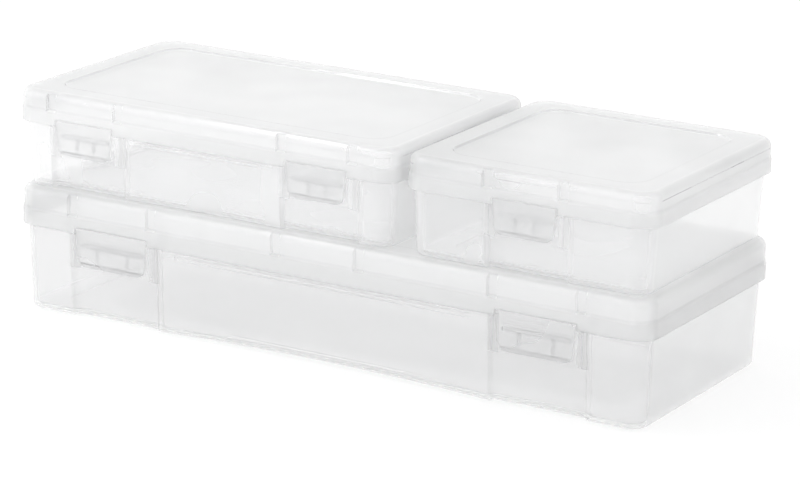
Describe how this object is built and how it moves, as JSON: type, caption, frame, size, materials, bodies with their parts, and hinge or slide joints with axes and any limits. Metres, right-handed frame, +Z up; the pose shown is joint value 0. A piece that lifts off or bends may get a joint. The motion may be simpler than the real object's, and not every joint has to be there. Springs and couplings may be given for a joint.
{
  "type": "stacking latching case set",
  "caption": "Frosted plastic keeper cases with hinged skirted lids and snap latches; the shorter ones stand on the long one's lid.",
  "frame": {"origin": "under the middle of the long case, on the surface that the set stands on", "axes": "+X along the latched fronts towards the small case, +Y from the fronts to the hinged backs, +Z up"},
  "size_m": [0.344, 0.13, 0.1111],
  "materials": {
    "tray_plastic": "frosted translucent, fine satin",
    "lid_plastic": "frosted translucent, smooth satin",
    "latch_plastic": "frosted translucent, smooth satin"
  },
  "bodies": {
    "large_tray": {"large_tray": "tray_plastic"},
    "medium_tray": {"medium_tray": "tray_plastic"},
    "small_tray": {"small_tray": "tray_plastic"},
    "large_lid": {"large_lid": "lid_plastic"},
    "medium_lid": {"medium_lid": "lid_plastic"},
    "small_lid": {"small_lid": "lid_plastic"},
    "large_latch_left": {"large_latch_left": "latch_plastic"},
    "large_latch_right": {"large_latch_right": "latch_plastic"},
    "medium_latch_left": {"medium_latch_left": "latch_plastic"},
    "medium_latch_right": {"medium_latch_right": "latch_plastic"},
    "small_latch_front": {"small_latch_front": "latch_plastic"}
  },
  "joints": [
    {"name": "large_lid_hinge", "type": "hinge", "parent": "large_tray", "child": "large_lid", "pos_m": [0, 0.0616, 0.0409], "axis": [-1, 0, 0], "range_deg": [0, 110]},
    {"name": "large_latch_left_flex", "type": "hinge", "parent": "large_lid", "child": "large_latch_left", "pos_m": [-0.1155, -0.06425, 0.0458], "axis": [-1, 0, 0], "range_deg": [0, 25], "stiffness_Nm_per_rad": 0.5},
    {"name": "large_latch_right_flex", "type": "hinge", "parent": "large_lid", "child": "large_latch_right", "pos_m": [0.1155, -0.06425, 0.0458], "axis": [-1, 0, 0], "range_deg": [0, 25], "stiffness_Nm_per_rad": 0.5},
    {"name": "medium_lift", "type": "slide", "parent": "large_lid", "child": "medium_tray", "axis": [0, 0, 1], "range_m": [0, 0.06]},
    {"name": "small_lift", "type": "slide", "parent": "large_lid", "child": "small_tray", "axis": [0, 0, 1], "range_m": [0, 0.06]},
    {"name": "medium_lid_hinge", "type": "hinge", "parent": "medium_tray", "child": "medium_lid", "pos_m": [-0.066, 0.0616, 0.0924], "axis": [-1, 0, 0], "range_deg": [0, 110]},
    {"name": "small_lid_hinge", "type": "hinge", "parent": "small_tray", "child": "small_lid", "pos_m": [0.108, 0.0616, 0.0924], "axis": [-1, 0, 0], "range_deg": [0, 110]},
    {"name": "medium_latch_left_flex", "type": "hinge", "parent": "medium_lid", "child": "medium_latch_left", "pos_m": [-0.131, -0.06425, 0.0973], "axis": [-1, 0, 0], "range_deg": [0, 25], "stiffness_Nm_per_rad": 0.5},
    {"name": "medium_latch_right_flex", "type": "hinge", "parent": "medium_lid", "child": "medium_latch_right", "pos_m": [-0.001, -0.06425, 0.0973], "axis": [-1, 0, 0], "range_deg": [0, 25], "stiffness_Nm_per_rad": 0.5},
    {"name": "small_latch_front_flex", "type": "hinge", "parent": "small_lid", "child": "small_latch_front", "pos_m": [0.108, -0.06425, 0.0973], "axis": [-1, 0, 0], "range_deg": [0, 25], "stiffness_Nm_per_rad": 0.5}
  ]
}
